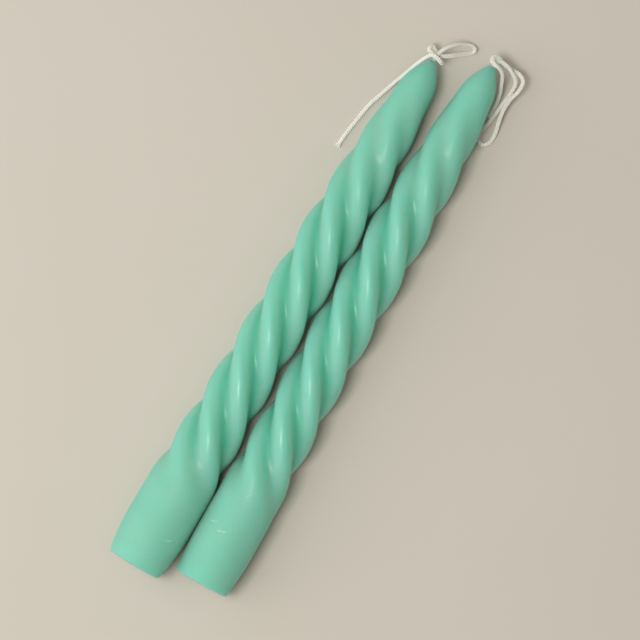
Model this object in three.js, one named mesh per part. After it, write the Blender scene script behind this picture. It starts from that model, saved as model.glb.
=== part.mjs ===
// A pair of spiral taper candles, lying side by side on a table.
// Each is one body of mint-green wax with a flat braided cotton wick through its middle.
// The wax is a round taper whose four flutes are twisted to the left: they rise out of a plain round
// barrel at the foot and die away in the blunt tip. The free wick ends in a slip knot with one loop.
// Units are millimetres and +Z is up. X runs from the left candle to the right one, and Y from the
// feet to the tips. The origin is on the table, under the middle of the box round the two wax bodies.
import * as THREE from "three";

// Main sizes of the left candle, and how far the right one differs from it.
const LENGTH = 199.6;
const BARREL_RADIUS = 11.45;
const LONGER_BY = 2.4;
const THINNER_BY = 0.55;

// Height above each foot at which a flute's crest first faces sideways, which sets how far the candle
// is rolled about its own axis.
const LEFT_FIRST_CREST = 50.0;
const RIGHT_FIRST_CREST = 57.0;

// The right candle's foot stands forward of the left one's, and the middle of its length bends a
// little towards the other candle.
const ROW_STEP = 5.9;
const BOW = 0.6;

const CANDLES = [
  {
    name: "left",
    side: -1,
    length: LENGTH,
    barrelRadius: BARREL_RADIUS,
    firstCrest: LEFT_FIRST_CREST,
    bow: 0,
    footY: 0,
  },
  {
    name: "right",
    side: 1,
    length: LENGTH + LONGER_BY,
    barrelRadius: BARREL_RADIUS - THINNER_BY,
    firstCrest: RIGHT_FIRST_CREST,
    bow: BOW,
    footY: ROW_STEP,
  },
];

// How they lie: the barrels all but touch, and the tips come together, so that the crests of one
// candle nest in the grooves of the other.
const BARREL_GAP = 0.3;
const TOE_IN = THREE.MathUtils.degToRad(0.64);

// Height of a candle's centre of mass above its foot, and the finest lean that its rest is found to.
const BALANCE_HEIGHT = 92;
const LEAN_STEP = THREE.MathUtils.degToRad(0.01);
const MOST_LEAN = THREE.MathUtils.degToRad(2);

// Wax body: outline over the crests, from the foot up. The stem tapers to a shoulder, and a short
// rounded nose closes it round the wick.
const FOOT_RADIUS = 9.6;
const FOOT_TAPER = 17;
const BARREL_STATION = 28;
const BARREL_TOP = 25;
const STEM_STATION = 79;
const STEM_RADIUS = 10.2;
const TAPER_STATION = 124;
const TAPER_POWER = 2.3;
const SHOULDER_RADIUS = 4.6;
const NOSE_LENGTH = 10.4;
const NOSE_POWER = 2.1;
const TIP_RADIUS = 1.45;

// Wax body: flutes and twist. A breadth of 1 makes crests and grooves alike, and less than 1 makes
// the grooves broader than the crests.
const LOBES = 4;
const TWIST_PITCH = 80.5;
const FLUTE_DEPTH = 3.15;
const CREST_BREADTH = 0.95;
const FLUTE_START = 26;
const FLUTE_FULL = 51.5;
const FLUTE_FADE = 128;
const FLUTE_TIP_MARGIN = 2.5;

// Wick: a flat braid, loose by a hair in its bore.
const WICK_WIDTH = 1.5;
const WICK_THICKNESS = 1.0;
const BORE_CLEARANCE = 0.3;
const WICK_SIDES = 8;
const TAIL_STEPS = 78;

// The free wick is measured on this many rings, each with those further along it than its own folds.
const CHECK_RINGS = 400;
const CHECK_REACH = 4;

// Mesh of the wax: columns round it, which follow the twist, and rings along it.
const COLUMNS = 48;
const FOOT_RINGS = 4;
const BODY_RINGS = 36;
const TIP_LENGTH = 35;
const TIP_RINGS = 12;
const BORE_RINGS = 6;

const WAX = { color: "#7fcdb1", roughness: 0.42, metalness: 0 };
const COTTON = { color: "#e4e2d6", roughness: 0.9, metalness: 0 };

// Free wick of the left candle, from its exit at the tip. Out to the loop and back, round the neck of
// the loop, and away down the candle's left side to the table.
const LEFT_TAIL_ROUTE = [
  [0.0, 0.0, 0.0],
  [0.0, 1.4, 0.0],
  [0.6, 3.9, 0.2],
  [2.0, 6.5, -0.6],
  [3.8, 8.5, -2.2],
  [6.4, 10.3, -4.8],
  [8.8, 11.3, -6.6],
  [10.5, 10.7, -7.3],
  [10.1, 9.3, -8.5],
  [8.4, 7.9, -7.4],
  [6.3, 6.2, -5.0],
  [4.4, 4.6, -2.8],
  [2.4, 3.2, -1.7],
  [-0.1, 2.4, -1.6],
  [-2.0, 2.1, -1.5],
  [-3.4, 2.8, -1.9],
  [-2.8, 4.3, -3.0],
  [-0.9, 3.4, -3.6],
  [1.4, 1.9, -3.4],
  [3.0, 0.8, -1.8],
  [2.3, 0.8, 0.5],
  [0.6, 1.4, 1.6],
  [-1.3, 1.4, 1.5],
  [-2.8, -0.4, 0.5],
  [-4.5, -4.0, -1.7],
  [-6.0, -8.0, -3.9],
  [-7.9, -13.0, -6.6],
  [-9.7, -18.3, -8.1],
  [-11.5, -23.8, -8.6],
  [-12.6, -30.2, -8.6],
  [-13.4, -35.6, -8.6],
  [-13.9, -41.4, -8.6],
];

// Free wick of the right candle, from its exit. It bends away to the right and down, folds back
// towards the foot as a long loop, and comes back to the knot, which goes over the exit.
const RIGHT_TAIL_ROUTE = [
  [0.0, 0.0, 0.0],
  [0.0, 1.4, 0.0],
  [1.2, 2.9, 0.1],
  [3.9, 2.7, -0.6],
  [7.1, 1.3, -1.8],
  [9.4, -0.8, -3.6],
  [9.7, -4.1, -5.2],
  [9.3, -8.0, -6.5],
  [8.8, -12.5, -7.4],
  [8.3, -16.8, -8.0],
  [7.4, -20.9, -8.7],
  [7.9, -23.3, -8.8],
  [10.0, -24.4, -8.8],
  [11.9, -22.5, -8.7],
  [12.0, -19.1, -8.0],
  [11.2, -15.5, -6.8],
  [10.4, -11.3, -5.4],
  [10.6, -6.5, -4.1],
  [11.6, -2.7, -3.4],
  [11.3, 0.9, -3.1],
  [8.9, 2.5, -3.4],
  [5.9, 2.5, -3.2],
  [2.8, 2.8, -2.3],
  [0.2, 3.6, -1.0],
  [-1.5, 3.0, 0.5],
  [-1.5, 1.6, 1.8],
  [0.2, 0.9, 2.2],
  [2.4, 0.4, 1.1],
  [4.1, -0.9, -1.1],
  [5.4, -3.6, -3.4],
  [6.7, -6.8, -5.8],
  [7.3, -11.0, -8.3],
  [7.1, -15.2, -9.0],
];
const TAIL_ROUTES = { left: LEFT_TAIL_ROUTE, right: RIGHT_TAIL_ROUTE };

// 0 below the range from..to, 1 above it, and a smooth ramp inside it.
function ramp(from, to, value) {
  return THREE.MathUtils.smoothstep(value, from, to);
}

// Radius over the crests at a height above the foot.
function crestRadius(candle, height) {
  if (height < FOOT_TAPER) {
    const left = 1 - height / FOOT_TAPER;
    return candle.barrelRadius - (candle.barrelRadius - FOOT_RADIUS) * left * left;
  }
  const stem = THREE.MathUtils.lerp(
    candle.barrelRadius,
    STEM_RADIUS,
    ramp(BARREL_TOP, STEM_STATION, height),
  );
  if (height <= TAPER_STATION) return stem;
  const along = (height - TAPER_STATION) / (candle.length - TAPER_STATION);
  const taper = SHOULDER_RADIUS + (stem - SHOULDER_RADIUS) * (1 - along ** TAPER_POWER);
  const intoNose = Math.max(0, 1 - (candle.length - height) / NOSE_LENGTH);
  return TIP_RADIUS + (taper - TIP_RADIUS) * (1 - intoNose ** NOSE_POWER);
}

// Depth of the grooves below the crests: none on the barrel, and none at the tip.
function grooveDepth(candle, height) {
  const rise = ramp(FLUTE_START, FLUTE_FULL, height);
  const fall = 1 - ramp(FLUTE_FADE, candle.length - FLUTE_TIP_MARGIN, height);
  return FLUTE_DEPTH * rise * fall;
}

// How far the axis bends sideways at a height above the foot.
function bend(candle, height) {
  return -candle.side * candle.bow * Math.sin((Math.PI * height) / candle.length) ** 2;
}

// Heights of the rings: close together where the foot and the tip curve.
function ringHeights(candle) {
  const heights = [];
  const tipStart = candle.length - TIP_LENGTH;
  for (let i = 0; i < FOOT_RINGS; i++) {
    heights.push((FOOT_TAPER * i) / FOOT_RINGS);
  }
  for (let i = 0; i < BODY_RINGS; i++) {
    heights.push(THREE.MathUtils.lerp(FOOT_TAPER, tipStart, i / BODY_RINGS));
  }
  for (let i = 0; i <= TIP_RINGS; i++) {
    const turn = (Math.PI / 2) * (i / TIP_RINGS);
    heights.push(THREE.MathUtils.lerp(tipStart, candle.length, Math.sin(turn)));
  }
  return heights;
}

// The wax: a round taper turned on a lathe with its bore, then twisted and fluted. Every ring turns
// with the twist, so that the mesh lines run along the crests and grooves.
function waxGeometry(candle) {
  const boreHalfWidth = WICK_WIDTH / 2 + BORE_CLEARANCE;
  const boreHalfThickness = WICK_THICKNESS / 2 + BORE_CLEARANCE;
  const outline = ringHeights(candle).map(
    (height) => new THREE.Vector2(crestRadius(candle, height), height),
  );
  const profile = [new THREE.Vector2(boreHalfWidth, 0), ...outline];
  for (let i = 0; i <= BORE_RINGS; i++) {
    profile.push(new THREE.Vector2(boreHalfWidth, candle.length * (1 - i / BORE_RINGS)));
  }
  const geometry = new THREE.LatheGeometry(profile, COLUMNS);
  const place = geometry.attributes.position;
  for (let i = 0; i < place.count; i++) {
    const ring = i % profile.length;
    const onOutline = ring >= 1 && ring <= outline.length;
    const angle = Math.atan2(place.getX(i), place.getZ(i));
    const height = place.getY(i);
    const aside = bend(candle, height);
    if (onOutline) {
      const turned = angle - (2 * Math.PI * (height - candle.firstCrest)) / TWIST_PITCH;
      const wave = (1 - Math.cos(LOBES * (angle - Math.PI / 2))) / 2;
      const groove = wave ** CREST_BREADTH;
      const radius = crestRadius(candle, height) - grooveDepth(candle, height) * groove;
      place.setXYZ(i, aside + radius * Math.sin(turned), height, radius * Math.cos(turned));
    } else {
      const across = boreHalfWidth * Math.sin(angle);
      place.setXYZ(i, aside + across, height, boreHalfThickness * Math.cos(angle));
    }
  }
  splitAlongTwist(geometry.index);
  return geometry;
}

// The twist leans each four-sided facet, so it is split along its shorter diagonal.
function splitAlongTwist(index) {
  for (let i = 0; i < index.count; i += 6) {
    const [a, b, d, c] = [0, 1, 2, 3].map((k) => index.getX(i + k));
    [a, b, c, a, c, d].forEach((vertex, k) => index.setX(i + k, vertex));
  }
}

// Cross-section of the flat wick.
function wickSection() {
  const oval = new THREE.EllipseCurve(0, 0, WICK_THICKNESS / 2, WICK_WIDTH / 2);
  return new THREE.Shape(oval.getPoints(WICK_SIDES).slice(0, WICK_SIDES));
}

// A length of wick along a path.
function wickGeometry(path, steps) {
  return new THREE.ExtrudeGeometry(wickSection(), {
    steps,
    bevelEnabled: false,
    curveSegments: 1,
    extrudePath: path,
  });
}

// The wick inside the wax, flush with the foot and with the tip, along the bow of the candle.
function wickCoreGeometry(candle) {
  const points = [];
  for (let i = 0; i <= BORE_RINGS; i++) {
    const height = (candle.length * i) / BORE_RINGS;
    points.push(new THREE.Vector3(bend(candle, height), height, 0));
  }
  return wickGeometry(new THREE.CatmullRomCurve3(points), BORE_RINGS);
}

// Path of the free wick, which starts a hair beyond the end of the core.
function tailPath(route) {
  const points = route.map(([x, y, z]) => new THREE.Vector3(x, y + BORE_CLEARANCE, z));
  return new THREE.CatmullRomCurve3(points, false, "centripetal");
}

// Least gap between a free wick and itself, between points all round it.
function leastOwnGap(path) {
  const frames = path.computeFrenetFrames(CHECK_RINGS);
  const corners = wickSection().getPoints();
  const rings = path.getSpacedPoints(CHECK_RINGS).map((centre, i) =>
    corners.map((corner) =>
      centre
        .clone()
        .addScaledVector(frames.normals[i], corner.x)
        .addScaledVector(frames.binormals[i], corner.y),
    ),
  );
  const skip = Math.ceil((CHECK_REACH * CHECK_RINGS) / path.getLength());
  let least = Infinity;
  rings.forEach((ring, i) => {
    for (const other of rings.slice(i + skip).flat()) {
      for (const point of ring) least = Math.min(least, point.distanceTo(other));
    }
  });
  return least;
}

function namedMesh(name, geometry, finish) {
  const mesh = new THREE.Mesh(geometry, new THREE.MeshStandardMaterial(finish));
  mesh.name = name;
  return mesh;
}

// A candle that lies down leans towards its thinner end by the angle that brings its centre of mass
// lowest, with the table touching the crests on both sides of it.
function restingLean(candle) {
  const heights = ringHeights(candle);
  let lowest = Infinity;
  let restsAt = 0;
  for (let lean = 0; lean < MOST_LEAN; lean += LEAN_STEP) {
    const reach = heights.map(
      (height) => crestRadius(candle, height) + (height - BALANCE_HEIGHT) * Math.tan(lean),
    );
    const balance = Math.max(...reach);
    if (balance < lowest) {
      lowest = balance;
      restsAt = lean;
    }
  }
  return restsAt;
}

// A candle's own group stands on its axis at the widest part of its barrel, with the axis along Y.
function candleGroup(candle) {
  const group = new THREE.Group();
  group.rotation.order = "ZXY";
  group.rotation.set(-restingLean(candle), 0, candle.side * TOE_IN);
  group.position.x = candle.side * (candle.barrelRadius + BARREL_GAP / 2);
  group.position.y = candle.footY + BARREL_STATION;

  const wax = namedMesh(`${candle.name}_wax_body`, waxGeometry(candle), WAX);
  const core = namedMesh(`${candle.name}_wick_core`, wickCoreGeometry(candle), COTTON);
  wax.position.y = -BARREL_STATION;
  core.position.y = -BARREL_STATION;
  group.add(wax, core);
  group.updateMatrixWorld(true);
  group.position.z = -new THREE.Box3().setFromObject(wax, true).min.z;
  group.updateMatrixWorld(true);
  return group;
}

const pair = new THREE.Group();
const waxBox = new THREE.Box3();
for (const candle of CANDLES) {
  const group = candleGroup(candle);
  const exit = group.localToWorld(new THREE.Vector3(0, candle.length - BARREL_STATION, 0));
  const path = tailPath(TAIL_ROUTES[candle.name]);
  const tail = namedMesh(`${candle.name}_wick_tail`, wickGeometry(path, TAIL_STEPS), COTTON);
  tail.position.copy(exit);
  pair.add(group, tail);
  waxBox.expandByObject(group, true);
  const lengthText = `${path.getLength().toFixed(1)} mm long`;
  console.log(`${candle.name} wick: ${lengthText}, least gap to itself ${leastOwnGap(path).toFixed(2)} mm`);
}

// The origin goes under the middle of the two wax bodies.
const middle = waxBox.getCenter(new THREE.Vector3());
pair.position.set(-middle.x, -middle.y, -waxBox.min.z);

export default pair;
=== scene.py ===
import math

import bmesh
import bpy
from mathutils import Matrix, Vector


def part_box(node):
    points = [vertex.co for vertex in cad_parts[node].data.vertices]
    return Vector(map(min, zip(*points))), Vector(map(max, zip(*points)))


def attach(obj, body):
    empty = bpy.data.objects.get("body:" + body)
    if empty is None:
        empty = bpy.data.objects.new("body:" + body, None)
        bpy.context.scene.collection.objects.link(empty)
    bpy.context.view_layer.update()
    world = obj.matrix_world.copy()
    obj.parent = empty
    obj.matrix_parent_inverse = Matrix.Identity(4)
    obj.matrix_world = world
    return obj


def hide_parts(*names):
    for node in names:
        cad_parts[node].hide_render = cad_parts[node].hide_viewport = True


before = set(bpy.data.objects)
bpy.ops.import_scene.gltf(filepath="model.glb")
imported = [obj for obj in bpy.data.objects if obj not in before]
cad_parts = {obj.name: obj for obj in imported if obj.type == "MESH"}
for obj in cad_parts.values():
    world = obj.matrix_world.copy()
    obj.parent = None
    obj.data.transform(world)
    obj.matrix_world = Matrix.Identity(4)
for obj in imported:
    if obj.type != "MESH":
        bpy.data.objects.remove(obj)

# A pair of spiral taper candles lying side by side, seen from straight above.
# Sizes are in metres in the CAD frame: X from the left candle to the right one, Y from the feet to
# the tips, Z up from the table.

MM = 0.001
DEGREE = math.pi / 180
NOISE_SPREAD = (0.2, 0.8)  # what nearly all of a noise's values lie between
NOISE_MEAN = (0.5, 0.5, 0.5)
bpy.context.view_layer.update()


# Small helpers. Sockets are given by number where several of a node's sockets share one name.

def linear(hex_colour):
    """Turns an sRGB hex colour into the linear colour that Blender's sockets take."""
    parts = [int(hex_colour[i : i + 2], 16) / 255 for i in (1, 3, 5)]
    lin = [c / 12.92 if c <= 0.04045 else ((c + 0.055) / 1.055) ** 2.4 for c in parts]
    return (*lin, 1.0)


def fill(tree, node, inputs):
    """Sets a node's inputs. Each is a value, or a socket or node to link from."""
    for key, value in inputs.items() if isinstance(inputs, dict) else enumerate(inputs):
        if isinstance(value, bpy.types.Node):
            value = value.outputs[0]
        if isinstance(value, bpy.types.NodeSocket):
            tree.links.new(value, node.inputs[key])
        elif value is not None:
            node.inputs[key].default_value = value


def add(tree, kind, inputs=(), **settings):
    """Adds a node with its settings and inputs."""
    node = tree.nodes.new(kind)
    for name, value in settings.items():
        setattr(node, name, value)
    fill(tree, node, inputs)
    return node


def maths(tree, operation, *values):
    """One sum, product or other function of numbers."""
    return add(tree, "ShaderNodeMath", values, operation=operation)


def vector_maths(tree, operation, *values):
    """One sum, product or other function of vectors."""
    return add(tree, "ShaderNodeVectorMath", values, operation=operation)


def scaled(tree, vector, factor):
    """The vector made longer by the factor."""
    return add(tree, "ShaderNodeVectorMath", {0: vector, "Scale": factor}, operation="SCALE")


def ramp(tree, value, start, end, at_start, at_end, curve="LINEAR"):
    """Goes from at_start to at_end while the value goes from start to end, and stays there beyond."""
    return add(tree, "ShaderNodeMapRange", [value, start, end, at_start, at_end],
               interpolation_type=curve)


def noise(tree, coords, patch, detail=2.0):
    """Random patches from 0 to 1, each about as wide as patch."""
    return add(tree, "ShaderNodeTexNoise", {"Vector": coords, "Scale": 1 / patch, "Detail": detail})


def blend(tree, share, first, second):
    """The first colour where the share is 0, and the second where it is 1."""
    return add(tree, "ShaderNodeMix", {"Factor": share, 6: first, 7: second},
               data_type="RGBA").outputs[2]


def stored(tree, geometry, name, value):
    """Keeps a value under a name on the points of the geometry."""
    return add(tree, "GeometryNodeStoreNamedAttribute", {0: geometry, "Name": name, "Value": value})


def show(name, data):
    """Puts new data into the scene as an object."""
    made = bpy.data.objects.new(name, data)
    bpy.context.scene.collection.objects.link(made)
    return made


# Camera: straight above, turned so that the candles run from lower left to upper right.
VIEW_WIDTH = 218.2 * MM  # what the picture's side spans at the height of the candles' axes
AXIS_HEIGHT = 11 * MM
CAMERA_DISTANCE = 2000 * MM
VIEW_TURN = 30.08 * DEGREE
VIEW_CENTRE = (1.755 * MM, 0.031 * MM)
SENSOR_WIDTH = 36.0

overhead = bpy.data.cameras.new("overhead_camera")
overhead.sensor_width = SENSOR_WIDTH
overhead.lens = SENSOR_WIDTH * CAMERA_DISTANCE / VIEW_WIDTH
overhead.clip_start = 10 * MM
camera = show("overhead_camera", overhead)
camera.location = (*VIEW_CENTRE, AXIS_HEIGHT + CAMERA_DISTANCE)
camera.rotation_euler = (0, 0, VIEW_TURN)
bpy.context.scene.camera = camera

# The candles. exit is where the wick leaves the tip, and barrel is the middle of the thickest part.
# As the photograph shows them, the left candle's first crest is 0.6 mm further up than in the CAD
# source, and the right candle's barrel is 0.24 mm nearer the left one, so that they all but touch.
CANDLES = {
    "left": {
        "side": -1,
        "length": 199.6 * MM,
        "barrel_radius": 11.45 * MM,
        "first_crest": 50.6 * MM,
        "bow": 0.0,
        "lean": 0.70 * DEGREE,
        "barrel": (-11.034 * MM, -75.875 * MM),
        "exit": (-9.117 * MM, 95.702 * MM, 9.335 * MM),
        "seed": 3.0,
    },
    "right": {
        "side": 1,
        "length": 202.0 * MM,
        "barrel_radius": 10.9 * MM,
        "first_crest": 57.0 * MM,
        "bow": 0.6 * MM,
        "lean": 0.40 * DEGREE,
        "barrel": (11.38 * MM, -69.975 * MM),
        "exit": (9.673 * MM, 104.010 * MM, 9.665 * MM),
        "seed": 8.0,
    },
}
TOE_IN = 0.64 * DEGREE
BARREL_STATION = 28 * MM
BORE_CLEARANCE = 0.3 * MM

WICK_WIDTH = 1.5 * MM
WICK_THICKNESS = 1.0 * MM

# Free wicks: the points, in millimetres from the exit, as in the CAD source.
LEFT_ROUTE = [
    (0.0, 0.0, 0.0), (0.0, 1.4, 0.0), (0.6, 3.9, 0.2), (2.0, 6.5, -0.6), (3.8, 8.5, -2.2),
    (6.4, 10.3, -4.8), (8.8, 11.3, -6.6), (10.5, 10.7, -7.3), (10.1, 9.3, -8.5), (8.4, 7.9, -7.4),
    (6.3, 6.2, -5.0), (4.4, 4.6, -2.8), (2.4, 3.2, -1.7), (-0.1, 2.4, -1.6), (-2.0, 2.1, -1.5),
    (-3.4, 2.8, -1.9), (-2.8, 4.3, -3.0), (-0.9, 3.4, -3.6), (1.4, 1.9, -3.4), (3.0, 0.8, -1.8),
    (2.3, 0.8, 0.5), (0.6, 1.4, 1.6), (-1.3, 1.4, 1.5), (-2.8, -0.4, 0.5), (-4.5, -4.0, -1.7),
    (-6.0, -8.0, -3.9), (-7.9, -13.0, -6.6), (-9.7, -18.3, -8.1), (-11.5, -23.8, -8.6),
    (-12.6, -30.2, -8.6), (-13.4, -35.6, -8.6), (-13.9, -41.4, -8.6),
]
RIGHT_ROUTE = [
    (0.0, 0.0, 0.0), (0.0, 1.4, 0.0), (1.2, 2.9, 0.1), (3.9, 2.7, -0.6), (7.1, 1.3, -1.8),
    (9.4, -0.8, -3.6), (9.7, -4.1, -5.2), (9.3, -8.0, -6.5), (8.8, -12.5, -7.4), (8.3, -16.8, -8.0),
    (7.4, -20.9, -8.7), (7.9, -23.3, -8.8), (10.0, -24.4, -8.8), (11.9, -22.5, -8.7),
    (12.0, -19.1, -8.0), (11.2, -15.5, -6.8), (10.4, -11.3, -5.4), (10.6, -6.5, -4.1),
    (11.6, -2.7, -3.4), (11.3, 0.9, -3.1), (8.9, 2.5, -3.4), (5.9, 2.5, -3.2), (2.8, 2.8, -2.3),
    (0.2, 3.6, -1.0), (-1.5, 3.0, 0.5), (-1.5, 1.6, 1.8), (0.2, 0.9, 2.2), (2.4, 0.4, 1.1),
    (4.1, -0.9, -1.1), (5.4, -3.6, -3.4), (6.7, -6.8, -5.8), (7.3, -11.0, -8.3), (7.1, -15.2, -9.0),
]
ROUTES = {"left": LEFT_ROUTE, "right": RIGHT_ROUTE}
POINTS_PER_STEP = 12


def smooth_line(points):
    """Points along the centripetal Catmull-Rom curve through the given ones, as the CAD draws it."""
    before = points[0] * 2 - points[1]
    after = points[-1] * 2 - points[-2]
    held = [before, *points, after]
    line = []
    for p0, p1, p2, p3 in zip(held, held[1:], held[2:], held[3:]):
        t0, t1, t2 = ((b - a).length ** 0.5 for a, b in ((p0, p1), (p1, p2), (p2, p3)))
        start = ((p1 - p0) / t0 - (p2 - p0) / (t0 + t1) + (p2 - p1) / t1) * t1
        end = ((p2 - p1) / t1 - (p3 - p1) / (t1 + t2) + (p3 - p2) / t2) * t1
        for i in range(POINTS_PER_STEP):
            u = i / POINTS_PER_STEP
            cube = (p1 - p2) * 2 + start + end
            square = (p2 - p1) * 3 - start * 2 - end
            line.append(p1 + start * u + square * u * u + cube * u * u * u)
    return [*line, points[-1]]


def free_wick_line(name):
    """Middle line of a candle's free wick."""
    exit_point = Vector(CANDLES[name]["exit"]) + Vector((0, BORE_CLEARANCE, 0))
    return smooth_line([exit_point + Vector(p) * MM for p in ROUTES[name]])


# Geometry trees

def named_inputs(tree, values):
    """Gives a geometry tree one named input for each value, and returns the inputs' sockets."""
    kinds = {int: "NodeSocketInt", float: "NodeSocketFloat", bpy.types.Material: "NodeSocketMaterial"}
    tree.interface.new_socket("Geometry", in_out="INPUT", socket_type="NodeSocketGeometry")
    for name, value in values.items():
        tree.interface.new_socket(name, in_out="INPUT", socket_type=kinds[type(value)])
    tree.interface.new_socket("Geometry", in_out="OUTPUT", socket_type="NodeSocketGeometry")
    return tree.nodes.new("NodeGroupInput").outputs


def grow(name, seed_mesh, tree, values):
    """Runs a geometry tree on a mesh and puts the result into the scene as a plain mesh."""
    host = show(name + "_host", seed_mesh)
    modifier = host.modifiers.new(tree.name, "NODES")
    modifier.node_group = tree
    for item in tree.interface.items_tree:
        if item.in_out == "INPUT" and item.name in values:
            modifier[item.identifier] = values[item.name]
    depsgraph = bpy.context.evaluated_depsgraph_get()
    mesh = bpy.data.meshes.new_from_object(host.evaluated_get(depsgraph), depsgraph=depsgraph)
    host.modifiers.remove(modifier)
    bpy.data.objects.remove(host)
    mesh.name = name
    return show(name, mesh)


# Wax body. The numbers are those of the CAD source, but the flutes are 0.3 mm shallower and their
# crests are broader. The foot's round corner and the surface's small unevenness are added.
TAPER = {
    "Foot radius": 9.6 * MM,
    "Foot taper": 17 * MM,
    "Foot corner": 0.7 * MM,
    "Barrel top": 25 * MM,
    "Stem station": 79 * MM,
    "Stem radius": 10.2 * MM,
    "Taper station": 124 * MM,
    "Taper power": 2.3,
    "Shoulder radius": 4.6 * MM,
    "Nose length": 10.4 * MM,
    "Nose power": 2.1,
    "Tip radius": 1.45 * MM,
    "Flutes": 4.0,
    "Twist pitch": 80.5 * MM,
    "Flute depth": 2.85 * MM,
    "Crest breadth": 1.15,
    "Flute start": 26 * MM,
    "Flute full": 51.5 * MM,
    "Flute fade": 128 * MM,
    "Tip margin": 2.5 * MM,
    "Bore width": WICK_WIDTH,
    "Bore thickness": WICK_THICKNESS,
    "Unevenness": 0.10 * MM,
    "Unevenness at foot": 0.3,
    "Wave length": 16 * MM,
    "Weld": 0.001 * MM,
    "Rings": 320,
    "Columns": 240,
    "End rings": 8,
}


def taper_sizes(candle, wax):
    """Every input of the spiral taper's tree for one candle."""
    return {
        "Length": candle["length"],
        "Barrel radius": candle["barrel_radius"],
        "First crest": candle["first_crest"],
        "Bow": -candle["side"] * candle["bow"],
        "Seed": candle["seed"],
        **TAPER,
        "Wax": wax,
    }


def spiral_taper_tree(values):
    """A round taper whose flutes follow a left-hand twist, with its axis along Y and its foot at 0."""
    tree = bpy.data.node_groups.new("spiral_taper", "GeometryNodeTree")
    size = named_inputs(tree, values)

    # Every wall starts as a flat grid: its X runs up the candle, and its Y once round it.
    # Rings crowd towards the foot and the tip, where the outline curves most.
    grid = add(tree, "ShaderNodeSeparateXYZ", [add(tree, "GeometryNodeInputPosition")])
    climb = ramp(tree, grid.outputs["X"], -0.5, 0.5, 0.0, math.pi)
    rise = maths(tree, "COSINE", climb)
    height = ramp(tree, rise, 1.0, -1.0, 0.0, size["Length"])
    angle = maths(tree, "MULTIPLY", grid.outputs["Y"], math.tau)

    # Outline over the crests: barrel, stem, taper to the shoulder, and the rounded nose.
    stem = ramp(tree, height, size["Barrel top"], size["Stem station"], size["Barrel radius"],
                size["Stem radius"], "SMOOTHSTEP")
    along = ramp(tree, height, size["Taper station"], size["Length"], 0.0, 1.0)
    tapered = maths(tree, "POWER", along, size["Taper power"])
    taper = ramp(tree, tapered, 0.0, 1.0, stem, size["Shoulder radius"])
    nose_foot = maths(tree, "SUBTRACT", size["Length"], size["Nose length"])
    into_nose = ramp(tree, height, nose_foot, size["Length"], 0.0, 1.0)
    closed = maths(tree, "POWER", into_nose, size["Nose power"])
    crest = ramp(tree, closed, 0.0, 1.0, taper, size["Tip radius"])

    # The foot is a little narrower than the barrel, and its corner is round.
    flare = ramp(tree, height, 0.0, size["Foot taper"], 1.0, 0.0)
    flare = maths(tree, "MULTIPLY", flare, flare)
    narrowing = maths(tree, "SUBTRACT", size["Barrel radius"], size["Foot radius"])
    narrowing = maths(tree, "MULTIPLY", narrowing, flare)
    corner = ramp(tree, height, 0.0, size["Foot corner"], 1.0, 0.0)
    corner = maths(tree, "MULTIPLY", corner, corner)
    corner = maths(tree, "SUBTRACT", 1.0, corner)
    corner = maths(tree, "SQRT", corner)
    corner = maths(tree, "SUBTRACT", 1.0, corner)
    taken_off = maths(tree, "MULTIPLY_ADD", corner, size["Foot corner"], narrowing)
    outline = maths(tree, "SUBTRACT", crest, taken_off)

    # Flutes: a cosine round the candle, broadened at its crests, and deep only along the stem.
    deepening = ramp(tree, height, size["Flute start"], size["Flute full"], 0.0, 1.0, "SMOOTHSTEP")
    fade_end = maths(tree, "SUBTRACT", size["Length"], size["Tip margin"])
    fading = ramp(tree, height, size["Flute fade"], fade_end, 1.0, 0.0, "SMOOTHSTEP")
    strength = maths(tree, "MULTIPLY", deepening, fading)
    from_crest = maths(tree, "SUBTRACT", angle, math.pi / 2)
    lobes = maths(tree, "MULTIPLY", from_crest, size["Flutes"])
    lobes = maths(tree, "COSINE", lobes)
    wave = ramp(tree, lobes, 1.0, -1.0, 0.0, 1.0)
    groove = maths(tree, "POWER", wave, size["Crest breadth"])
    groove = maths(tree, "MULTIPLY", groove, strength)
    cut = maths(tree, "MULTIPLY", groove, size["Flute depth"])
    radius = maths(tree, "SUBTRACT", outline, cut)

    # Twist: each ring turns back a little more than the one below it.
    climbed = maths(tree, "SUBTRACT", height, size["First crest"])
    turns = maths(tree, "DIVIDE", climbed, size["Twist pitch"])
    turned = maths(tree, "MULTIPLY_ADD", turns, -math.tau, angle)
    sine = maths(tree, "SINE", turned)
    cosine = maths(tree, "COSINE", turned)

    # Soft unevenness of a candle twisted by hand, less at the foot, which is cut true.
    around = add(tree, "ShaderNodeCombineXYZ", [sine, None, cosine])
    place = scaled(tree, around, size["Barrel radius"])
    lifted = add(tree, "ShaderNodeCombineXYZ", [None, height])
    place = vector_maths(tree, "ADD", place, lifted)
    fineness = maths(tree, "DIVIDE", 1.0, size["Wave length"])
    waves = add(tree, "ShaderNodeTexNoise", {"Vector": place, "W": size["Seed"],
                                             "Scale": fineness, "Detail": 1.0},
                noise_dimensions="4D")
    dent = ramp(tree, waves, *NOISE_SPREAD, -1.0, 0.0)
    calm = ramp(tree, height, 0.0, size["Foot taper"], size["Unevenness at foot"], 1.0)
    dent = maths(tree, "MULTIPLY", dent, calm)
    radius = maths(tree, "MULTIPLY_ADD", dent, size["Unevenness"], radius)

    # The axis bends sideways by the bow, most at mid-length.
    half_wave = ramp(tree, height, 0.0, size["Length"], 0.0, math.pi)
    half_wave = maths(tree, "SINE", half_wave)
    half_wave = maths(tree, "MULTIPLY", half_wave, half_wave)
    aside = maths(tree, "MULTIPLY", half_wave, size["Bow"])

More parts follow.
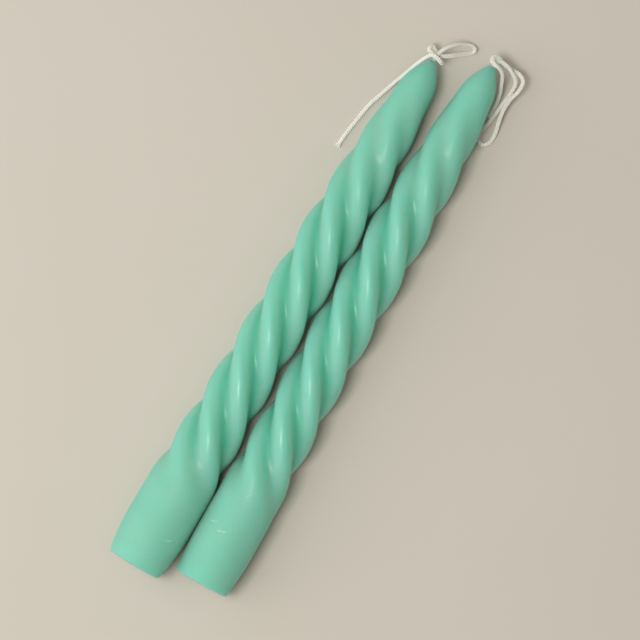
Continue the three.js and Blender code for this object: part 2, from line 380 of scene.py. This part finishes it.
    # Places on the outer skin, and on the oval bore, which the wick fills from wall to wall.
    x = maths(tree, "MULTIPLY_ADD", radius, sine, aside)
    z = maths(tree, "MULTIPLY", radius, cosine)
    on_skin = add(tree, "ShaderNodeCombineXYZ", [x, height, z])
    half_width = maths(tree, "MULTIPLY", size["Bore width"], 0.5)
    half_depth = maths(tree, "MULTIPLY", size["Bore thickness"], 0.5)
    x = maths(tree, "MULTIPLY_ADD", sine, half_width, aside)
    z = maths(tree, "MULTIPLY", cosine, half_depth)
    in_bore = add(tree, "ShaderNodeCombineXYZ", [x, height, z])

    # Skin and bore, and the flat faces of the foot and the tip, which join the two.
    columns = maths(tree, "ADD", size["Columns"], 1.0)
    skin = add(tree, "GeometryNodeMeshGrid", [1.0, 1.0, size["Rings"], columns])
    skin = stored(tree, skin, "groove", groove)
    skin = stored(tree, skin, "twisted", strength)
    skin = add(tree, "GeometryNodeSetPosition", {0: skin, "Position": on_skin})
    bore = add(tree, "GeometryNodeMeshGrid", [1.0, 1.0, size["End rings"], columns])
    bore = add(tree, "GeometryNodeSetPosition", {0: bore, "Position": in_bore})
    walls = add(tree, "GeometryNodeJoinGeometry")
    outward = add(tree, "GeometryNodeInputNamedAttribute", {"Name": "outward"})
    across = add(tree, "ShaderNodeMix", {"Factor": outward, 4: in_bore, 5: on_skin},
                 data_type="VECTOR")
    share = maths(tree, "ADD", grid.outputs["X"], 0.5)
    for end in (-0.5, 0.5):
        face = add(tree, "GeometryNodeMeshGrid", [1.0, 1.0, size["End rings"], columns])
        face = stored(tree, face, "outward", share)
        at_end = add(tree, "ShaderNodeCombineXYZ", [end, grid.outputs["Y"]])
        face = add(tree, "GeometryNodeSetPosition", {0: face, "Position": at_end})
        face = add(tree, "GeometryNodeSetPosition", {0: face, "Position": across.outputs[1]})
        tree.links.new(face.outputs[0], walls.inputs[0])
    tree.links.new(bore.outputs[0], walls.inputs[0])
    tree.links.new(skin.outputs[0], walls.inputs[0])

    welded = add(tree, "GeometryNodeMergeByDistance", {0: walls, "Distance": size["Weld"]})
    smooth = add(tree, "GeometryNodeSetShadeSmooth", [welded])
    real = add(tree, "GeometryNodeRealizeInstances", [smooth])
    finished = add(tree, "GeometryNodeSetMaterial", {0: real, "Material": size["Wax"]})
    add(tree, "NodeGroupOutput", [finished])
    return tree


# Wick: three strands of cotton yarn in a flat plait.
PLAIT = {
    "Width": WICK_WIDTH,
    "Thickness": WICK_THICKNESS,
    "Plait length": 2.6 * MM,
    "Strands": 3.0,
    "Yarns": 6.0,
    "Strand radius": 0.20 * MM,
    "Strand flatness": 0.6,
    "Yarn radius": 0.12 * MM,
    "Yarn sides": 5,
    "Yarn lay": 5.0 * MM,
    "Fray": 0.5,
    "Fray length": 1.8 * MM,
    "Seed": 5,
}
FREE_WICK_STEP = 0.2 * MM
CORE_STEP = 0.45 * MM


def plaited_wick_tree(values):
    """A flat plait along a line of edges, its broad side up."""
    tree = bpy.data.node_groups.new("plaited_wick", "GeometryNodeTree")
    size = named_inputs(tree, values)

    line = add(tree, "GeometryNodeMeshToCurve", [size["Geometry"]])
    line = add(tree, "GeometryNodeResampleCurve", {0: line, "Length": size["Step"]}, mode="LENGTH")
    line = add(tree, "GeometryNodeSetCurveNormal", [line], mode="Z_UP")
    count = maths(tree, "MULTIPLY", size["Strands"], size["Yarns"])
    copies = add(tree, "GeometryNodeDuplicateElements", {0: line, "Amount": count}, domain="SPLINE")
    number = copies.outputs["Duplicate Index"]
    strand = maths(tree, "MODULO", number, size["Strands"])
    yarn = maths(tree, "DIVIDE", number, size["Strands"])
    yarn = maths(tree, "FLOOR", yarn)
    run = add(tree, "GeometryNodeSplineParameter").outputs["Length"]

    # Each strand's middle draws a figure of eight across the plait, a third of a turn apart.
    share = maths(tree, "DIVIDE", strand, size["Strands"])
    phase = maths(tree, "DIVIDE", run, size["Plait length"])
    phase = maths(tree, "ADD", phase, share)
    swing = maths(tree, "MULTIPLY", phase, math.tau)
    swing = maths(tree, "SINE", swing)
    hop = maths(tree, "MULTIPLY", phase, 2 * math.tau)
    hop = maths(tree, "SINE", hop)
    strand_half = maths(tree, "ADD", size["Strand radius"], size["Yarn radius"])
    reach = maths(tree, "MULTIPLY", size["Width"], 0.5)
    reach = maths(tree, "SUBTRACT", reach, strand_half)
    flat_radius = maths(tree, "MULTIPLY", size["Strand radius"], size["Strand flatness"])
    strand_depth = maths(tree, "ADD", flat_radius, size["Yarn radius"])
    hop_reach = maths(tree, "MULTIPLY", size["Thickness"], 0.5)
    hop_reach = maths(tree, "SUBTRACT", hop_reach, strand_depth)

    # Yarns twist round their strand's middle.
    lay = maths(tree, "DIVIDE", run, size["Yarn lay"])
    turn = maths(tree, "DIVIDE", yarn, size["Yarns"])
    turn = maths(tree, "ADD", turn, lay)
    turn = maths(tree, "MULTIPLY", turn, math.tau)
    yarn_side = maths(tree, "COSINE", turn)
    yarn_side = maths(tree, "MULTIPLY", yarn_side, size["Strand radius"])
    yarn_up = maths(tree, "SINE", turn)
    yarn_up = maths(tree, "MULTIPLY", yarn_up, flat_radius)
    sideways = maths(tree, "MULTIPLY_ADD", swing, reach, yarn_side)
    upwards = maths(tree, "MULTIPLY_ADD", hop, hop_reach, yarn_up)

    # The cut end opens a little.
    whole = add(tree, "GeometryNodeSplineLength")
    fray_from = maths(tree, "SUBTRACT", whole, size["Fray length"])
    widest = maths(tree, "ADD", size["Fray"], 1.0)
    fray = ramp(tree, run, fray_from, whole, 1.0, widest, "SMOOTHSTEP")
    side = add(tree, "GeometryNodeInputNormal")
    ahead = add(tree, "GeometryNodeInputTangent")
    up = vector_maths(tree, "CROSS_PRODUCT", side, ahead)
    sideways = scaled(tree, side, sideways)
    upwards = scaled(tree, up, upwards)
    offset = vector_maths(tree, "ADD", sideways, upwards)
    offset = scaled(tree, offset, fray)

    # What the material reads: the distance along the wick, and a shade for each yarn.
    shade = add(tree, "FunctionNodeRandomValue", {"ID": number, "Seed": size["Seed"]},
                data_type="FLOAT")
    yarns = stored(tree, copies, "run", run)
    yarns = stored(tree, yarns, "yarn_shade", shade.outputs[1])
    yarns = add(tree, "GeometryNodeSetPosition", {0: yarns, "Offset": offset})
    section = add(tree, "GeometryNodeCurvePrimitiveCircle", {"Resolution": size["Yarn sides"],
                                                             "Radius": size["Yarn radius"]})
    tubes = add(tree, "GeometryNodeCurveToMesh", {0: yarns, 1: section, "Fill Caps": True})
    smooth = add(tree, "GeometryNodeSetShadeSmooth", [tubes])
    real = add(tree, "GeometryNodeRealizeInstances", [smooth])
    finished = add(tree, "GeometryNodeSetMaterial", {0: real, "Material": size["Cotton"]})
    add(tree, "NodeGroupOutput", [finished])
    return tree


# Materials

def new_material(name):
    """A new material with its node tree, its shader, and the coordinates of the object it is on."""
    material = bpy.data.materials.new(name)
    material.use_nodes = True
    tree = material.node_tree
    coords = add(tree, "ShaderNodeTexCoord").outputs["Object"]
    return material, tree, tree.nodes["Principled BSDF"], coords


def carried(tree, name):
    """The value that the mesh carries under this name."""
    return add(tree, "ShaderNodeAttribute", attribute_name=name).outputs["Fac"]


def relief(tree, height, depth, strength):
    """Bumps in the surface. Where the height is 1 they stand out as far as the depth says."""
    return add(tree, "ShaderNodeBump", {"Height": height, "Strength": strength, "Distance": depth})


# Small pale scuffs on the two barrels: where each lies, which way it runs, and half its length.
SCUFFS = [
    ((4.7 * MM, -77.0 * MM, 20 * MM), 19 * DEGREE, 2.0 * MM),
    ((8.9 * MM, -78.7 * MM, 22 * MM), 15 * DEGREE, 2.2 * MM),
    ((-5.4 * MM, -90.7 * MM, 21 * MM), 18 * DEGREE, 1.8 * MM),
    ((10.6 * MM, -63.8 * MM, 21 * MM), 40 * DEGREE, 0.8 * MM),
]
SCUFF_HALF_WIDTH = 0.26 * MM
SCUFF_HALF_HEIGHT = 3 * MM
SCUFF_EDGE = 0.4  # how far from the middle a stroke starts to fade, as a share of its half size
SCUFF_STRENGTH = 0.5
SCUFF_WANDER = 2.0 * MM
WANDER_LENGTH = 1.6 * MM
CRUMB_WIDTH = 0.5 * MM
CRUMB_SPREAD = (0.38, 0.55)


def scuff_marks(tree, coords):
    """How scuffed each place is: a wandering stroke at each scuff, broken up by a fine noise."""
    wander = noise(tree, coords, WANDER_LENGTH).outputs["Color"]
    wander = vector_maths(tree, "SUBTRACT", wander, NOISE_MEAN)
    wander = scaled(tree, wander, SCUFF_WANDER)
    wandering = vector_maths(tree, "ADD", coords, wander)
    strokes = 0.0
    for centre, turn, half_length in SCUFFS:
        local = add(tree, "ShaderNodeMapping",
                    {"Vector": wandering, "Location": centre, "Rotation": (0, 0, turn),
                     "Scale": (half_length, SCUFF_HALF_WIDTH, SCUFF_HALF_HEIGHT)},
                    vector_type="TEXTURE")
        away = vector_maths(tree, "LENGTH", local).outputs["Value"]
        stroke = ramp(tree, away, SCUFF_EDGE, 1.0, 1.0, 0.0)
        strokes = maths(tree, "MAXIMUM", strokes, stroke)
    crumbs = noise(tree, coords, CRUMB_WIDTH, detail=3.0)
    broken = ramp(tree, crumbs, *CRUMB_SPREAD, 0.0, SCUFF_STRENGTH)
    return maths(tree, "MULTIPLY", strokes, broken)


WAX_COLOURS = (linear("#7cc1ac"), linear("#86c5b3"))
CLOUD_WIDTH = 9 * MM
# Painted shade: the bottoms of the grooves are painted a darker, stronger green.
GROOVE_SHADE_COLOUR = linear("#10b896")
GROOVE_SHADE_SHARE = 0.6
GROOVE_SHADE_START = 0.5  # how deep in the groove the painted shade starts, as a share of its depth
SCUFF_COLOUR = linear("#e4f7ee")
WAX_ROUGHNESS = (0.64, 0.72)
RUBBED_WIDTH = 5 * MM
RUBBED_SPREAD = (0.3, 0.7)
TWISTED_ROUGHNESS = -0.14  # added on the twisted part
TWISTED_COAT = 0.35
SCUFF_ROUGHNESS = 0.2  # added on the scuffs
RIPPLE_WIDTH = 2.5 * MM
WAX_RELIEF = 0.02 * MM
SCUFF_HEIGHT = 2.0  # how far the scuffs stand proud, in ripples


def dyed_wax():
    """Paraffin wax with stearin, dyed through and pulled into a smooth skin.

    Green and blue light spread about a centimetre through it. The dye stops red light within half a
    millimetre, so the shaded side and the bottoms of the grooves turn a stronger green."""
    material, tree, shader, coords = new_material("dyed_paraffin_stearin_wax")

    # Clouds where the wax cooled unevenly, and painted shade: a darker, stronger green at the bottom
    # of the grooves.
    body = blend(tree, noise(tree, coords, CLOUD_WIDTH), *WAX_COLOURS)
    # Painted shade, deepest at the bottom of each groove.
    depth = ramp(tree, carried(tree, "groove"), GROOVE_SHADE_START, 1.0, 0.0, GROOVE_SHADE_SHARE)
    body = blend(tree, depth, body, GROOVE_SHADE_COLOUR)
    marks = scuff_marks(tree, coords)
    body = blend(tree, marks, body, SCUFF_COLOUR)

    # Sheen: the twisted part was pulled smooth, so only it has the tight glints of a coat, and
    # handling leaves some patches a little duller than others.
    twisted = carried(tree, "twisted")
    coat = maths(tree, "MULTIPLY", twisted, TWISTED_COAT)
    rubbed = noise(tree, coords, RUBBED_WIDTH, detail=3.0)
    rough = ramp(tree, rubbed, *RUBBED_SPREAD, *WAX_ROUGHNESS)
    rough = maths(tree, "MULTIPLY_ADD", twisted, TWISTED_ROUGHNESS, rough)
    rough = maths(tree, "MULTIPLY_ADD", marks, SCUFF_ROUGHNESS, rough)

    ripples = noise(tree, coords, RIPPLE_WIDTH)
    skin = maths(tree, "MULTIPLY_ADD", marks, SCUFF_HEIGHT, ripples)
    fill(tree, shader, {
        "Base Color": body,
        "Roughness": rough,
        "IOR": 1.44,
        "Normal": relief(tree, skin, WAX_RELIEF, strength=0.5),
        "Subsurface Weight": 1.0,
        "Subsurface Radius": (0.03, 1.0, 0.8),
        "Subsurface Scale": 14 * MM,
        "Coat Weight": coat,
        "Coat Roughness": 0.15,
        "Coat IOR": 1.44,
    })
    return material


COTTON_COLOURS = (linear("#f0ede2"), linear("#faf8f0"))
SOAKED_COLOUR = linear("#9fd8bd")
SOAKED_RUN = (0.5 * MM, 4.0 * MM)  # soaked up to the first, and dry from the second
SOAKED_SHARE = 0.7
SOAKED_ROUGHNESS = 0.5
DRY_ROUGHNESS = 0.9
FIBRE_WIDTH = 0.08 * MM  # real fibres are about 0.02 mm thick, too fine to show
FIBRE_RELIEF = 0.03 * MM


def plaited_cotton():
    """Bleached cotton yarn, plaited. It is matt and fuzzy, and each yarn has its own shade. Where it
    leaves the tip it is soaked with wax, so it is greener and a little shiny there."""
    material, tree, shader, coords = new_material("plaited_bleached_cotton")
    cotton = blend(tree, carried(tree, "yarn_shade"), *COTTON_COLOURS)
    soaked = ramp(tree, carried(tree, "run"), *SOAKED_RUN, SOAKED_SHARE, 0.0)
    fibres = noise(tree, coords, FIBRE_WIDTH)
    fill(tree, shader, {
        "Base Color": blend(tree, soaked, cotton, SOAKED_COLOUR),
        "Roughness": ramp(tree, soaked, 0.0, SOAKED_SHARE, DRY_ROUGHNESS, SOAKED_ROUGHNESS),
        "IOR": 1.5,
        "Normal": relief(tree, fibres, FIBRE_RELIEF, strength=0.6),
        "Subsurface Weight": 0.3,
        "Subsurface Radius": (1.0, 1.0, 0.9),
        "Subsurface Scale": 0.3 * MM,
        "Sheen Weight": 0.3,
        "Sheen Roughness": 0.5,
    })
    return material


TABLE_COLOURS = (linear("#c7c1b6"), linear("#cac4ba"))
PAINT_PATCH_WIDTH = 60 * MM
ROLLER_GRAIN_WIDTH = 1.2 * MM
ROLLER_GRAIN_RELIEF = 0.03 * MM


def table_paint():
    """Flat warm-grey paint on a board: quite matt, with a faint roller texture."""
    material, tree, shader, coords = new_material("flat_warm_grey_paint")
    patches = noise(tree, coords, PAINT_PATCH_WIDTH, detail=3.0)
    grain = noise(tree, coords, ROLLER_GRAIN_WIDTH, detail=4.0)
    fill(tree, shader, {
        "Base Color": blend(tree, patches, *TABLE_COLOURS),
        "Roughness": 0.85,
        "Normal": relief(tree, grain, ROLLER_GRAIN_RELIEF, strength=0.3),
        "Specular IOR Level": 0.3,
    })
    return material


wax = dyed_wax()
cotton = plaited_cotton()


# The pieces

def candle_place(candle):
    """Where the candle's own frame, with its foot at 0 and its axis along Y, lies in the CAD frame."""
    x, y = candle["barrel"]
    at_barrel = Matrix.Translation((x, y, 0))
    toe_in = Matrix.Rotation(candle["side"] * TOE_IN, 4, "Z")
    lean = Matrix.Rotation(-candle["lean"], 4, "X")
    return at_barrel @ toe_in @ lean @ Matrix.Translation((0, -BARREL_STATION, 0))


def wick_mesh(name, line):
    """A mesh of nothing but a line of edges, for a wick to grow along."""
    mesh = bpy.data.meshes.new(name)
    mesh.from_pydata(line, [(i, i + 1) for i in range(len(line) - 1)], [])
    return mesh


def face_outwards(piece):
    """Recalculates a closed mesh's normals."""
    shell = bmesh.new()
    shell.from_mesh(piece.data)
    bmesh.ops.recalc_face_normals(shell, faces=shell.faces)
    shell.to_mesh(piece.data)
    shell.free()


CORE_STEPS = 20

taper_tree = spiral_taper_tree(taper_sizes(CANDLES["left"], wax))
wick_sizes = {**PLAIT, "Step": FREE_WICK_STEP, "Cotton": cotton}
core_sizes = {**PLAIT, "Step": CORE_STEP, "Fray": 0.0, "Cotton": cotton}
wick_tree = plaited_wick_tree(wick_sizes)

for name, candle in CANDLES.items():
    body = f"{name}_candle"
    place = candle_place(candle)

    taper = grow(f"{name}_spiral_taper", bpy.data.meshes.new(name), taper_tree,
                 taper_sizes(candle, wax))
    face_outwards(taper)
    taper.data.transform(place)
    # It is lifted until its lowest point is as high as that of the CAD's solid.
    low = min(v.co.z for v in taper.data.vertices)
    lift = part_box(f"{name}_wax_body")[0].z - low
    taper.data.transform(Matrix.Translation((0, 0, lift)))
    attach(taper, body)
    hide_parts(f"{name}_wax_body")

    # The wick inside the wax follows the bow of the candle.
    stations = [candle["length"] * i / CORE_STEPS for i in range(CORE_STEPS + 1)]
    bends = [-candle["side"] * candle["bow"] * math.sin(math.pi * s / candle["length"]) ** 2
             for s in stations]
    inside = [place @ Vector((b, s, 0)) + Vector((0, 0, lift)) for b, s in zip(bends, stations)]
    core = grow(f"{name}_wick_in_wax", wick_mesh(name, inside), wick_tree, core_sizes)
    face_outwards(core)
    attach(core, body)
    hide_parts(f"{name}_wick_core")

    line = free_wick_line(name)
    wick = grow(f"{name}_free_wick", wick_mesh(name, line), wick_tree, wick_sizes)
    face_outwards(wick)
    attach(wick, body)
    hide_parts(f"{name}_wick_tail")

# Table
TABLE_SIDE = 3.0
table_mesh = bpy.data.meshes.new("table")
half = TABLE_SIDE / 2
table_mesh.from_pydata([(-half, -half, 0), (half, -half, 0), (half, half, 0), (-half, half, 0)], [],
                       [(0, 1, 2, 3)])
table_mesh.materials.append(table_paint())
table = show("table", table_mesh)

# Light: a soft window nearly overhead, a little to the left, which draws the glints on the crests and
# the close shadow on the right, and a wide weak panel far down on the left. Both are square.
LIGHTS = {
    "overhead_window": {"towards": (-0.18, -0.15, 0.97), "distance": 1.2, "side": 0.38,
                        "watts": 8.0, "colour": "#fffdfa"},
    "left_panel": {"towards": (-0.72, -0.36, 0.60), "distance": 0.8, "side": 0.9,
                   "watts": 2.8, "colour": "#ffffff"},
}
for name, light in LIGHTS.items():
    lamp = bpy.data.lights.new(name, "AREA")
    lamp.shape = "SQUARE"
    lamp.size = light["side"]
    lamp.energy = light["watts"]
    lamp.color = linear(light["colour"])[:3]
    towards = Vector(light["towards"]).normalized()
    sideways = Vector((0, 1, 0)).cross(towards).normalized()
    lengthways = towards.cross(sideways)
    placed = show(name, lamp)
    placed.location = towards * light["distance"]
    placed.rotation_euler = Matrix((lengthways, -sideways, towards)).transposed().to_euler()

# Room: a weak even glow from the walls and the ceiling.
ROOM_COLOUR = linear("#dcd8cf")
ROOM_STRENGTH = 0.46
world = bpy.data.worlds.new("pale_room")
world.use_nodes = True
fill(world.node_tree, world.node_tree.nodes["Background"],
     {"Color": ROOM_COLOUR, "Strength": ROOM_STRENGTH})
bpy.context.scene.world = world
bpy.context.scene.view_settings.view_transform = "Standard"

bpy.context.view_layer.update()
